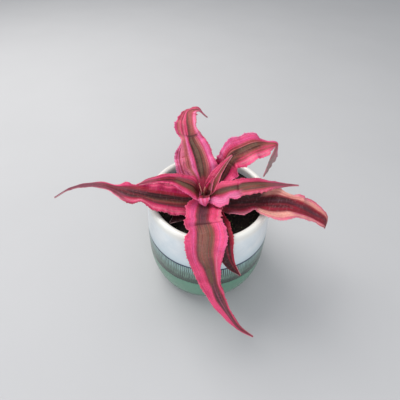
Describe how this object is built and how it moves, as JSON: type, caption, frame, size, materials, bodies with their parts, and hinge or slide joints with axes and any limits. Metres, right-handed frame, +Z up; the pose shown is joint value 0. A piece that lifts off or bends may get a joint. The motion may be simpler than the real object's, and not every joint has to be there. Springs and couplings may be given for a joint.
{
  "type": "potted cryptanthus plant",
  "caption": "Earth star bromeliad: a low rosette of long, waved, pink-edged leaves arching over the rim of a small round glazed pot filled with dark soil.",
  "frame": {"origin": "middle of the pot's flat underside, on the surface it stands on", "axes": "+Z up along the pot's axis; -Y towards the side the plant is seen from, where the longest hanging leaf is; +X to the right of that view"},
  "size_m": [0.1982, 0.1443, 0.1238],
  "materials": {
    "pot_glaze": "gloss",
    "soil": "matte",
    "stem_fibre": "matte",
    "leaf_pink": "satin",
    "leaf_rose": "satin",
    "leaf_crimson": "satin",
    "leaf_peach": "satin",
    "leaf_maroon": "satin"
  },
  "bodies": {
    "root": {"pot": "pot_glaze", "soil": "soil", "stem": "stem_fibre", "leaf_front": "leaf_pink", "leaf_front_low": "leaf_crimson", "leaf_right_low": "leaf_peach", "leaf_right_up": "leaf_pink", "leaf_back_right": "leaf_pink", "leaf_inner_right": "leaf_rose", "leaf_back": "leaf_pink", "leaf_left_up": "leaf_rose", "leaf_left_low": "leaf_crimson", "leaf_low_left": "leaf_maroon", "leaf_back_low": "leaf_crimson", "leaf_heart_a": "leaf_rose", "leaf_heart_b": "leaf_rose", "leaf_heart_c": "leaf_pink"}
  },
  "joints": []
}
